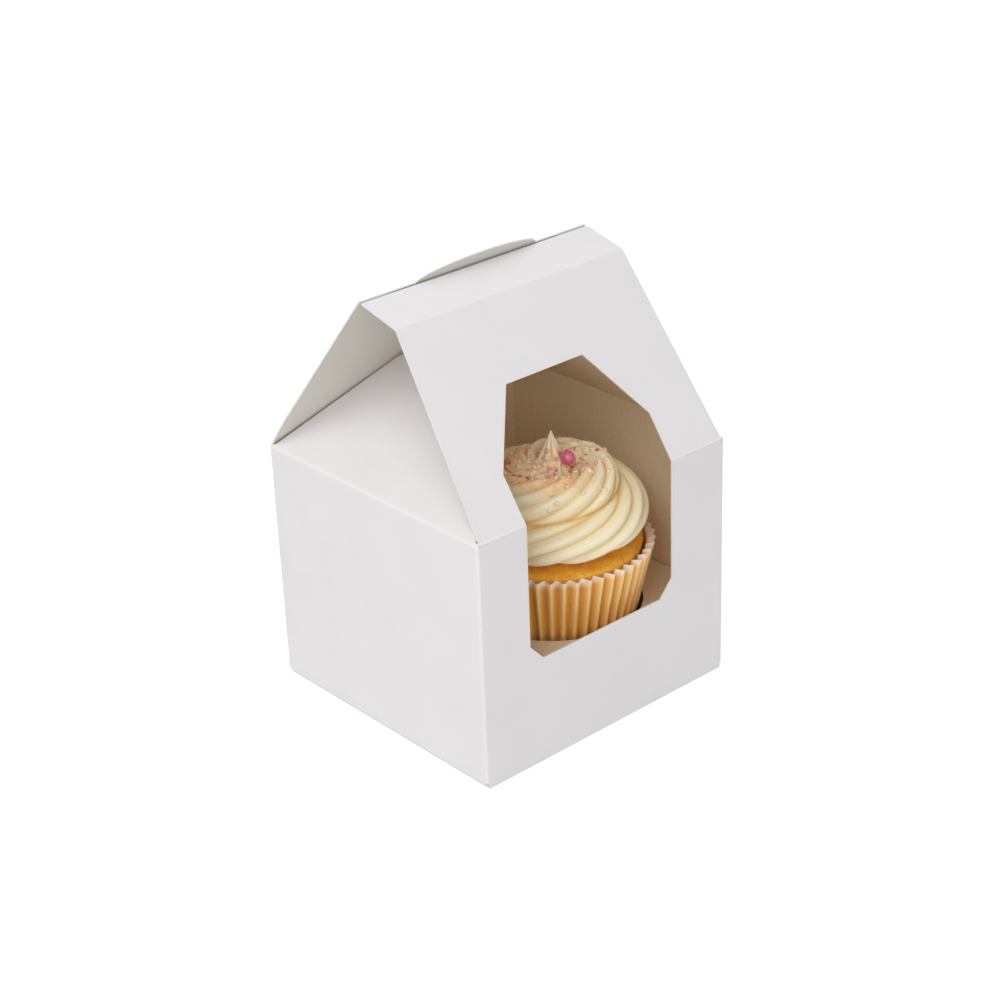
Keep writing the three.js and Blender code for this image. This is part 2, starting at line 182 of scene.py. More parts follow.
def grown(name: str, start: bpy.types.Mesh, tree: bpy.types.GeometryNodeTree,
          values: dict[str, float]) -> bpy.types.Mesh:
    """Runs a node tree once and keeps its result as a plain mesh.

    Args:
        name: Name of the modifier and of the object that carries it for a moment.
        start: Mesh that the tree gets.
        tree: The tree.
        values: Input name to value.

    Returns:
        The mesh.
    """
    maker = link(name, start)
    modifier = maker.modifiers.new(name, "NODES")
    modifier.node_group = tree
    for item in tree.interface.items_tree:
        if item.in_out == "INPUT" and item.name in values:
            modifier[item.identifier] = values[item.name]
    graph = bpy.context.evaluated_depsgraph_get()
    mesh = bpy.data.meshes.new_from_object(
        maker.evaluated_get(graph), preserve_all_data_layers=True, depsgraph=graph)
    maker.modifiers.clear()
    bpy.data.objects.remove(maker)
    return mesh


def closed_rings(name: str, rings: np.ndarray) -> bpy.types.Mesh:
    """Builds a closed body from rings that run from its foot to its top.

    Args:
        name: Name of the mesh.
        rings: Points as rows, steps and x, y, z, anticlockwise from above.

    Returns:
        Mesh with smooth faces, closed at both poles.
    """
    rows, steps, _ = rings.shape
    poles = np.array([rings[0].mean(axis=0), rings[-1].mean(axis=0)])
    points = np.concatenate([rings.reshape(-1, 3), poles])
    low = rows * steps
    faces = []
    for k in range(steps):
        turn = (k + 1) % steps
        faces.append((low, turn, k))
        for i in range(rows - 1):
            a, b = i * steps + k, i * steps + turn
            faces.append((a, b, b + steps, a + steps))
        faces.append(((rows - 1) * steps + k, (rows - 1) * steps + turn, low + 1))
    mesh = bpy.data.meshes.new(name)
    mesh.from_pydata(points.tolist(), [], faces)
    mesh.shade_smooth()
    return mesh


def show(name: str, mesh: bpy.types.Mesh, nodes: tuple[str, ...] = (),
         body: str = "carton") -> bpy.types.Object:
    """Puts a finished mesh in the scene as a piece.

    Args:
        name: Name of the piece.
        mesh: Mesh in its place, in metres.
        nodes: CAD nodes that the piece stands for.
        body: CAD body that carries the piece.

    Returns:
        The object.
    """
    piece = link(name, mesh)
    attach(piece, body)
    if nodes:
        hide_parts(*nodes)
    LOG.info("%s: %d faces", name, len(mesh.polygons))
    return piece


# Finishes


@dataclass(frozen=True)
class CoatedBoard:
    """Clay-coated folding boxboard, calendered white outside and bare cream pulp inside."""

    name: str = "clay_coated_boxboard"
    clay: str = "#EEECED"
    cloud: str = "#E8E5E6"
    # Paler folds: partly rubbed coat, partly a painted highlight that also lightens the shade line
    # at the lid's fold
    rubbed_and_highlight: str = "#F3F1F2"
    pulp: str = "#F6E7CE"
    fibre: str = "#EBD9B9"
    # Painted light: grey laid on the roof's inner face to the left and along the ridge, where the
    # light differs from the warm shade deeper inside
    painted_light_grey: str = "#DAD6CF"
    painted_light_from: float = 16.0
    painted_light_to: float = -14.0
    painted_light_blend: float = 2.0
    painted_light_top: float = 134.5
    top_blend: float = 1.0
    cloud_mm: float = 16.0
    fibre_mm: float = 1.1
    wave_mm: float = 38.0
    corner_wear_and_highlight: float = 1.1
    eave_wear_and_highlight: tuple[float, float] = (0.9, 0.1)
    heart: float = 60.0

    def make(self) -> bpy.types.Material:
        """Makes the board: satin white clay with faint clouds outside, matt fibrous pulp inside.

        Returns:
            The material.
        """
        material, tree = empty_material(self.name)
        place = add_node(tree, "ShaderNodeTexCoord")
        at = place.outputs["Object"]
        # Real fibres are 0.02 mm thick, so they are drawn as millimetre tufts that show
        fibre = add_node(tree, "ShaderNodeTexNoise",
                         {"Vector": at, "Scale": 1 / (self.fibre_mm * MM), "Detail": 6.0,
                          "Roughness": 0.65}).outputs["Fac"]
        outside = self.outside(tree, place)
        colour = add_node(tree, "ShaderNodeMix",
                          {"Factor": outside, "A": self.inner_face(tree, at, fibre),
                           "B": self.outer_face(tree, at, fibre)}, data_type="RGBA")
        gloss = add_node(tree, "ShaderNodeMapRange",
                         {"Value": fibre, "To Min": 0.46, "To Max": 0.58})
        rough = add_node(tree, "ShaderNodeMix",
                         {"Factor": outside, "A": 0.9, "B": gloss}, data_type="FLOAT")
        return finished(material, {"Base Color": colour, "Roughness": rough,
                                   "Normal": self.relief(tree, at, fibre),
                                   "Specular IOR Level": 0.4})

    def outside(self, tree: Tree, place: bpy.types.Node) -> Socket:
        """Marks the faces that look away from the carton's heart, which carry the clay.

        Args:
            tree: The board's node tree.
            place: Node that gives object coordinates and normals.

        Returns:
            Socket with 1 outside and 0 inside.
        """
        arm = add_node(tree, "ShaderNodeVectorMath",
                       {0: place.outputs["Object"], 1: (0, 0, self.heart * MM)},
                       operation="SUBTRACT")
        facing = add_node(tree, "ShaderNodeVectorMath",
                          {0: place.outputs["Normal"], 1: arm}, operation="DOT_PRODUCT")
        away = add_node(tree, "ShaderNodeMath", {0: facing, 1: 0.0}, operation="GREATER_THAN")
        return away.outputs[0]

    def outer_face(self, tree: Tree, at: Socket, fibre: Socket) -> Socket:
        """Colours the clay: white with faint clouds, paler along the folds where the coat is
        rubbed and a highlight is painted.

        Args:
            tree: The board's node tree.
            at: Object coordinates.
            fibre: Fibre pattern.

        Returns:
            Socket with the colour.
        """
        cloud = add_node(tree, "ShaderNodeTexNoise",
                         {"Vector": at, "Scale": 1 / (self.cloud_mm * MM), "Detail": 3.0})
        clay = add_node(tree, "ShaderNodeMix",
                        {"Factor": cloud, "A": linear(self.clay), "B": linear(self.cloud)},
                        data_type="RGBA")
        # Partly rubbed coat, partly a painted highlight along the folds and over the shade line at
        # the lid's fold
        worn_and_highlit = add_node(tree, "ShaderNodeMix",
                        {"Factor": self.fold_wear_and_highlight(tree, at, fibre), "A": clay,
                         "B": linear(self.rubbed_and_highlight)}, data_type="RGBA")
        return worn_and_highlit.outputs["Result"]

    def inner_face(self, tree: Tree, at: Socket, fibre: Socket) -> Socket:
        """Colours the inside: cream pulp with tan fibres, turning to a painted grey for how light
        falls on the roof's inner face.

        Args:
            tree: The board's node tree.
            at: Object coordinates.
            fibre: Fibre pattern.

        Returns:
            Socket with the colour.
        """
        tuft = add_node(tree, "ShaderNodeMapRange",
                        {"Value": fibre, "From Min": 0.35, "From Max": 0.7})
        pulp = add_node(tree, "ShaderNodeMix",
                        {"Factor": tuft, "A": linear(self.fibre), "B": linear(self.pulp)},
                        data_type="RGBA")
        # Painted light: the pulp turns grey to the left and along the ridge, for how light falls
        # on the roof's inside
        painted_light_toned = add_node(tree, "ShaderNodeMix",
                         {"Factor": self.painted_light_share(tree, at), "A": pulp,
                          "B": linear(self.painted_light_grey)}, data_type="RGBA")
        return painted_light_toned.outputs["Result"]

    def relief(self, tree: Tree, at: Socket, fibre: Socket) -> Socket:
        """Raises the fibres, and lets the sheet wave a little as real board does.

        Args:
            tree: The board's node tree.
            at: Object coordinates.
            fibre: Fibre pattern.

        Returns:
            Socket with the normal.
        """
        wave = add_node(tree, "ShaderNodeTexNoise",
                        {"Vector": at, "Scale": 1 / (self.wave_mm * MM), "Detail": 1.0})
        grain = add_node(tree, "ShaderNodeBump",
                         {"Height": fibre, "Strength": 0.25, "Distance": 0.06 * MM})
        bend = add_node(tree, "ShaderNodeBump",
                        {"Height": wave, "Strength": 0.35, "Distance": 0.4 * MM, "Normal": grain})
        return bend.outputs["Normal"]

    def painted_light_share(self, tree: Tree, at: Socket) -> Socket:
        """Marks where the roof's inner face is painted grey for how light falls there, to the left
        and along the ridge.

        Args:
            tree: The board's node tree.
            at: Object coordinates.

        Returns:
            Socket with the share of painted grey.
        """
        parts = add_node(tree, "ShaderNodeSeparateXYZ", {0: at})
        across = add_node(tree, "ShaderNodeMapRange",
                          {"Value": parts.outputs[0], "From Min": self.painted_light_from * MM,
                           "From Max": self.painted_light_to * MM}, interpolation_type="SMOOTHSTEP")
        above = add_node(tree, "ShaderNodeMapRange",
                         {"Value": parts.outputs[2], "From Min": (EAVE - self.painted_light_blend) * MM,
                          "From Max": (EAVE + self.painted_light_blend) * MM})
        side = add_node(tree, "ShaderNodeMath", {0: across, 1: above}, operation="MULTIPLY")
        ridge = add_node(tree, "ShaderNodeMapRange",
                         {"Value": parts.outputs[2],
                          "From Min": (self.painted_light_top - self.top_blend) * MM,
                          "From Max": self.painted_light_top * MM})
        either = add_node(tree, "ShaderNodeMath", {0: side, 1: ridge}, operation="MAXIMUM")
        return either.outputs[0]

    def fold_wear_and_highlight(self, tree: Tree, at: Socket, fibre: Socket) -> Socket:
        """Marks the folds, where the coat is stretched and rubbed and a highlight is painted,
        which also lightens the shade line at the lid's fold.

        Args:
            tree: The board's node tree.
            at: Object coordinates.
            fibre: Fibre pattern that breaks up the paler line.

        Returns:
            Socket with the share of wear and painted highlight.
        """
        parts = add_node(tree, "ShaderNodeSeparateXYZ", {0: at})
        sides = []
        for socket, limit in ((parts.outputs[0], HALF_WIDTH), (parts.outputs[1], HALF_DEPTH)):
            size = add_node(tree, "ShaderNodeMath", {0: socket}, operation="ABSOLUTE")
            sides.append(add_node(tree, "ShaderNodeMapRange",
                                  {"Value": size,
                                   "From Min": (limit - self.corner_wear_and_highlight) * MM,
                                   "From Max": limit * MM}).outputs["Result"])
        corner = add_node(tree, "ShaderNodeMath", {0: sides[0], 1: sides[1]}, operation="MULTIPLY")
        drop = add_node(tree, "ShaderNodeMath",
                        {0: parts.outputs[2], 1: EAVE * MM}, operation="SUBTRACT")
        off = add_node(tree, "ShaderNodeMath", {0: drop}, operation="ABSOLUTE")
        clear, rubbed_and_highlight = self.eave_wear_and_highlight
        eave = add_node(tree, "ShaderNodeMapRange",
                        {"Value": off, "From Min": clear * MM, "From Max": rubbed_and_highlight * MM})
        line = add_node(tree, "ShaderNodeMath", {0: corner, 1: eave}, operation="MAXIMUM")
        worn_and_highlit = add_node(tree, "ShaderNodeMath", {0: line, 1: fibre}, operation="MULTIPLY")
        return worn_and_highlit.outputs[0]


@dataclass(frozen=True)
class PulpBoard:
    """Uncoated white-lined board of the insert, a matt cream face with short fibres."""

    name: str = "uncoated_pulp_board"
    light: str = "#EADBC0"
    dark: str = "#DCCAA8"
    fibre_mm: float = 1.0

    def make(self) -> bpy.types.Material:
        """Makes the insert's board: matt, cream and slightly tufted.

        Returns:
            The material.
        """
        material, tree = empty_material(self.name)
        at = add_node(tree, "ShaderNodeTexCoord").outputs["Object"]
        fibre = add_node(tree, "ShaderNodeTexNoise",
                         {"Vector": at, "Scale": 1 / (self.fibre_mm * MM), "Detail": 6.0,
                          "Roughness": 0.7})
        colour = add_node(tree, "ShaderNodeMix",
                          {"Factor": fibre, "A": linear(self.dark), "B": linear(self.light)},
                          data_type="RGBA")
        bump = add_node(tree, "ShaderNodeBump",
                        {"Height": fibre, "Strength": 0.3, "Distance": 0.08 * MM})
        return finished(material, {"Base Color": colour, "Roughness": 0.9, "Normal": bump,
                                   "Specular IOR Level": 0.25})


@dataclass(frozen=True)
class GreaseproofPaper:
    """Pleated greaseproof paper, white at its free rim and golden where cake fat soaks it."""

    name: str = "greaseproof_paper"
    dry: str = "#F4E2D0"
    soaked: str = "#FFD27C"
    # Brown painted as shade in the folds between the pleats
    crease: str = "#D89A44"
    rim: float = CUP_FLOOR + CUP_HEIGHT
    blot_mm: float = 6.0
    soaked_shift: float = 2.2
    wet_line: float = 46.2
    fibre_mm: float = 0.8

    def make(self) -> bpy.types.Material:
        """Makes the paper: pale tips, tan walls, brown painted shade in the folds between the
        pleats and a painted highlight on their crests.

        Returns:
            The material.
        """
        material, tree = empty_material(self.name)
        at = add_node(tree, "ShaderNodeTexCoord").outputs["Object"]
        parts = add_node(tree, "ShaderNodeSeparateXYZ", {0: at})
        pleat = add_node(tree, "ShaderNodeAttribute", attribute_name="pleat")
        blot = add_node(tree, "ShaderNodeTexNoise",
                        {"Vector": at, "Scale": 1 / (self.blot_mm * MM), "Detail": 3.0})
        shift = add_node(tree, "ShaderNodeMapRange",
                         {"Value": blot, "To Min": -self.soaked_shift * MM,
                          "To Max": self.soaked_shift * MM})
        high = add_node(tree, "ShaderNodeMath", {0: parts.outputs[2], 1: shift}, operation="ADD")
        dry = add_node(tree, "ShaderNodeMapRange",
                       {"Value": high, "From Min": self.wet_line * MM, "From Max": self.rim * MM})
        # Painted shade: the folds between the pleats are coloured brown
        fold = add_node(tree, "ShaderNodeMapRange",
                        {"Value": pleat.outputs["Fac"], "From Min": -1.0, "From Max": 0.75})
        wall = add_node(tree, "ShaderNodeMix",
                        {"Factor": fold, "A": linear(self.crease), "B": linear(self.soaked)},
                        data_type="RGBA")
        # Painted highlight: the pleats' crests are paled
        crest = add_node(tree, "ShaderNodeMapRange",
                         {"Value": pleat.outputs["Fac"], "From Min": 0.7, "From Max": 1.0,
                          "To Max": 0.5})
        pale = add_node(tree, "ShaderNodeMath", {0: dry, 1: crest}, operation="MAXIMUM")
        colour = add_node(tree, "ShaderNodeMix",
                          {"Factor": pale, "A": wall, "B": linear(self.dry)}, data_type="RGBA")
        fibre = add_node(tree, "ShaderNodeTexNoise",
                         {"Vector": at, "Scale": 1 / (self.fibre_mm * MM), "Detail": 4.0})
        bump = add_node(tree, "ShaderNodeBump",
                        {"Height": fibre, "Strength": 0.3, "Distance": 0.1 * MM})
        return finished(material, {"Base Color": colour, "Roughness": 0.55, "Normal": bump,
                                   "Specular IOR Level": 0.4})


@dataclass(frozen=True)
class SpongeCake:
    """Baked sponge crust, golden with browner patches and small pores."""

    name: str = "baked_sponge"
    gold: str = "#FFC44A"
    brown: str = "#E8962C"
    pore_mm: float = 0.9
    patch_mm: float = 5.0

    def make(self) -> bpy.types.Material:
        """Makes the crust: matt gold, mottled brown and pricked with pores, whose pits are painted
        brown as shade.

        Returns:
            The material.
        """
        material, tree = empty_material(self.name)
        at = add_node(tree, "ShaderNodeTexCoord").outputs["Object"]
        patch = add_node(tree, "ShaderNodeTexNoise",
                         {"Vector": at, "Scale": 1 / (self.patch_mm * MM), "Detail": 5.0,
                          "Roughness": 0.6})
        browned = add_node(tree, "ShaderNodeMapRange",
                           {"Value": patch, "From Min": 0.38, "From Max": 0.72})
        pore = add_node(tree, "ShaderNodeTexVoronoi",
                        {"Vector": at, "Scale": 1 / (self.pore_mm * MM)})
        # Painted shade: the pores' pits are coloured brown, and also sunk by the bump
        pore_pit_and_shade = add_node(tree, "ShaderNodeMapRange",
                       {"Value": pore, "From Min": 0.05, "From Max": 0.4})
        gold = add_node(tree, "ShaderNodeMix",
                        {"Factor": browned, "A": linear(self.gold), "B": linear(self.brown)},
                        data_type="RGBA")
        colour = add_node(tree, "ShaderNodeMix",
                          {"Factor": pore_pit_and_shade, "A": linear(self.brown), "B": gold}, data_type="RGBA")
        bump = add_node(tree, "ShaderNodeBump",
                        {"Height": pore_pit_and_shade, "Strength": 0.6, "Distance": 0.25 * MM})
        return finished(material, {"Base Color": colour, "Roughness": 0.75, "Normal": bump,
                                   "Specular IOR Level": 0.3})


@dataclass(frozen=True)
class Buttercream:
    """Whipped butter and sugar: a painted highlight on the crests, painted shade in the grooves,
    and an orange tone on the crown.
    """

    name: str = "whipped_buttercream"
    # Paler colour painted on the crests as highlight
    crest: str = "#FBF3DC"
    body: str = "#F6E8C2"
    # Yellow-gold painted as shade in the grooves
    groove_painted_shade: str = "#E3B75A"
    crown_tone: str = "#F2B06A"
    crown_tone_sides: tuple[float, float] = (14.0, -1.0)
    crown_tone_levels: tuple[float, float, float, float] = (72.5, 75.2, 76.8, 79.5)
    streak_mm: float = 2.5
    grain_mm: float = 0.5

    def make(self) -> bpy.types.Material:
        """Makes the cream: soft satin, lit through a little, with sugar grain.

        Returns:
            The material.
        """
        material, tree = empty_material(self.name)
        at = add_node(tree, "ShaderNodeTexCoord").outputs["Object"]
        level = add_node(tree, "ShaderNodeAttribute", attribute_name="crest")
        streak = add_node(tree, "ShaderNodeTexNoise",
                          {"Vector": at, "Scale": 1 / (self.streak_mm * MM), "Detail": 3.0})
        # Painted shade: the low parts of the relief turn yellow-gold
        low = add_node(tree, "ShaderNodeMapRange",
                       {"Value": level.outputs["Fac"], "From Min": 0.0, "From Max": 0.42})
        # Painted highlight: the high parts of the relief turn paler, broken up by streaks
        high = add_node(tree, "ShaderNodeMapRange",
                        {"Value": level.outputs["Fac"], "From Min": 0.5, "From Max": 1.0})
        painted_crest_highlight = add_node(tree, "ShaderNodeMath", {0: high, 1: streak}, operation="MULTIPLY")
        pale = add_node(tree, "ShaderNodeMix",
                        {"Factor": painted_crest_highlight, "A": linear(self.body), "B": linear(self.crest)},
                        data_type="RGBA")
        cream = add_node(tree, "ShaderNodeMix",
                         {"Factor": low, "A": linear(self.groove_painted_shade), "B": pale}, data_type="RGBA")
        # An orange tone laid on the crown, strongest to the left
        colour = add_node(tree, "ShaderNodeMix",
                          {"Factor": self.crown_toned(tree, at, streak.outputs["Fac"]), "A": cream,
                           "B": linear(self.crown_tone)}, data_type="RGBA")
        grain = add_node(tree, "ShaderNodeTexNoise",
                         {"Vector": at, "Scale": 1 / (self.grain_mm * MM), "Detail": 3.0})
        fine = add_node(tree, "ShaderNodeBump",
                        {"Height": grain, "Strength": 0.2, "Distance": 0.05 * MM})
        soft = add_node(tree, "ShaderNodeBump",
                        {"Height": streak, "Strength": 0.35, "Distance": 0.35 * MM,
                         "Normal": fine})
        return finished(material, {"Base Color": colour, "Roughness": 0.42, "Normal": soft,
                                   "Specular IOR Level": 0.4, "Subsurface Weight": 0.25,
                                   "Subsurface Radius": (1.0, 0.7, 0.35),
                                   "Subsurface Scale": 2.0 * MM})

    def crown_toned(self, tree: Tree, at: Socket, streak: Socket) -> Socket:
        """Marks the crown, where an orange tone is laid on, strongest to the left and broken up by
        streaks.

        Args:
            tree: The cream's node tree.
            at: Object coordinates.
            streak: Streak pattern that breaks up the tone.

        Returns:
            Socket with the share of the orange tone.
        """
        parts = add_node(tree, "ShaderNodeSeparateXYZ", {0: at})
        level = parts.outputs[2]
        right, left = self.crown_tone_sides
        side = add_node(tree, "ShaderNodeMapRange",
                        {"Value": parts.outputs[0], "From Min": right * MM, "From Max": left * MM,
                         "To Min": 0.14})
        foot, full, crown, clear = self.crown_tone_levels
        rise = add_node(tree, "ShaderNodeMapRange",
                        {"Value": level, "From Min": foot * MM, "From Max": full * MM})
        fall = add_node(tree, "ShaderNodeMapRange",
                        {"Value": level, "From Min": clear * MM, "From Max": crown * MM})
        band = add_node(tree, "ShaderNodeMath", {0: rise, 1: fall}, operation="MULTIPLY")
        place = add_node(tree, "ShaderNodeMath", {0: band, 1: side}, operation="MULTIPLY")
        blot = add_node(tree, "ShaderNodeMapRange",
                        {"Value": streak, "From Min": 0.3, "From Max": 0.7, "To Min": 0.25})
        share = add_node(tree, "ShaderNodeMath", {0: place, 1: blot}, operation="MULTIPLY")
        return share.outputs[0]


@dataclass(frozen=True)
class SugarGlaze:
    """Pressed sugar with a polished shellac coat, for the pearl and the sprinkles."""

    name: str
    colour: str
    shade: str
    roughness: float
    coat: float
    mottle_mm: float

    def make(self) -> bpy.types.Material:
        """Makes the glaze: a clear bright highlight over slightly cloudy sugar.

        Returns:
            The material.
        """
        material, tree = empty_material(self.name)
        at = add_node(tree, "ShaderNodeTexCoord").outputs["Object"]
        cloud = add_node(tree, "ShaderNodeTexNoise",
                         {"Vector": at, "Scale": 1 / (self.mottle_mm * MM), "Detail": 3.0})
        colour = add_node(tree, "ShaderNodeMix",
                          {"Factor": cloud, "A": linear(self.colour), "B": linear(self.shade)},
                          data_type="RGBA")
        bump = add_node(tree, "ShaderNodeBump",
                        {"Height": cloud, "Strength": 0.2, "Distance": 0.05 * MM})
        return finished(material, {"Base Color": colour, "Roughness": self.roughness,
                                   "Normal": bump, "Coat Weight": self.coat,
                                   "Coat Roughness": 0.12})


class SprinkleKind(Enum):
    """The kinds of sugar strewn on the cream, each with its glaze."""

    ROSE = SugarGlaze("rose_sugar", "#D87A70", "#C25E58", 0.5, 0.3, 0.8)
    BLUSH = SugarGlaze("blush_sugar", "#F0B6AA", "#E39C90", 0.55, 0.2, 0.8)
    CREAM = SugarGlaze("cream_sugar", "#F6E6C4", "#E9CFA0", 0.5, 0.3, 0.8)


# Carton


@dataclass
class Carton:
    """The folded sheet and its lid, whose solids are right and get their finish."""

    wall_end: float = 79.5
    axis_y: float = -47.75
    bead: float = 0.258
    open_lean: float = 20.3
    bend_steps: int = 6
    outer_ends: float = 48.6
    window_ends: tuple[float, float] = (-31.3, 27.3)
    fold: float = 1.0
    web_x: float = 48.9
    web_y: float = 46.3
    web_pitch: float = 32.5
    web_inset: float = 0.02
    web_steps: int = 8
    board: CoatedBoard = field(default_factory=CoatedBoard)

    def crease(self) -> bpy.types.Mesh:
        """Builds the scored board that runs on from the wall round the lid's fold.

        Returns:
            One strip on each side of the window, clear of the opened lid.
        """
        y, z = self.axis_y, EAVE
        lean = math.radians(self.open_lean)
        bend = [math.pi / 2 - lean * (1 - i / self.bend_steps)
                for i in range(self.bend_steps + 1)]
        hollow = [(y - self.bead * math.cos(a), z - self.bead * math.sin(a)) for a in bend]
        lip = hollow[0][1] + (hollow[0][0] + HALF_DEPTH) * math.tan(lean)
        inner = BOARD - HALF_DEPTH
        line = [(inner, self.wall_end), (-HALF_DEPTH, self.wall_end), (-HALF_DEPTH, lip),
                *hollow, (inner, z - self.bead)]
        strip = bmesh.new()
        for low, high in ((-self.outer_ends, self.window_ends[0]),
                          (self.window_ends[1], self.outer_ends)):
            ends = [[strip.verts.new(Vector((x, p[0], p[1])) * MM) for p in line]
                    for x in (low, high)]
            strip.faces.new(ends[0])
            strip.faces.new(ends[1][::-1])
            for i in range(len(line)):
                k = (i + 1) % len(line)
                strip.faces.new((ends[0][i], ends[1][i], ends[1][k], ends[0][k]))
        return closed_mesh("crease", strip)

    def web_outline(self) -> list[tuple[float, float]]:
        """Gives a corner web's outline from above, just inside the walls' rounded corner."""
        middle_x, middle_y = HALF_WIDTH - self.fold, HALF_DEPTH - self.fold
        radius = self.fold - self.web_inset
        line = [(self.web_x, self.web_y), (HALF_WIDTH - self.web_inset, self.web_y)]
        for i in range(self.web_steps + 1):
            a = math.pi / 2 * i / self.web_steps
            line.append((middle_x + radius * math.cos(a), middle_y + radius * math.sin(a)))
        return line

    def webs(self) -> bpy.types.Mesh:
        """Builds the pinched board that closes the four corners at the eaves.

        Returns:
            Four small webs, level with the walls' rounded corners.
        """
        line = self.web_outline()
        rise = math.tan(math.radians(self.web_pitch))
        webs = bmesh.new()
        for side_x in (-1, 1):
            for side_y in (-1, 1):
                low = [webs.verts.new(Vector((side_x * x, side_y * y, self.wall_end)) * MM)
                       for x, y in line]
                high = [webs.verts.new(Vector((side_x * x, side_y * y,
                                               EAVE + rise * (HALF_WIDTH - x))) * MM)
                        for x, y in line]
                webs.faces.new(low)
                webs.faces.new(high)
                for i in range(len(line)):
                    k = (i + 1) % len(line)
                    webs.faces.new((low[i], low[k], high[k], high[i]))
        return closed_mesh("webs", webs)

    def build(self) -> None:
        """Dresses the carton and the lid, and closes the slots at the lid's fold."""
        finish = self.board.make()
        for name in ("carton", "lid"):
            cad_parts[name].material_slots[0].material = finish
            LOG.info("%s: dressed in %s", name, finish.name)
        for name, mesh in (("scored_crease", self.crease()), ("corner_webs", self.webs())):
            mesh.materials.append(finish)
            show(name, mesh)


@dataclass
class Insert:
    """The raised platform round the cupcake."""

    board: PulpBoard = field(default_factory=PulpBoard)

    def build(self) -> None:
        """Dresses the insert."""
        finish = self.board.make()
        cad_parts["insert"].material_slots[0].material = finish
        LOG.info("insert: dressed in %s", finish.name)


# Cupcake


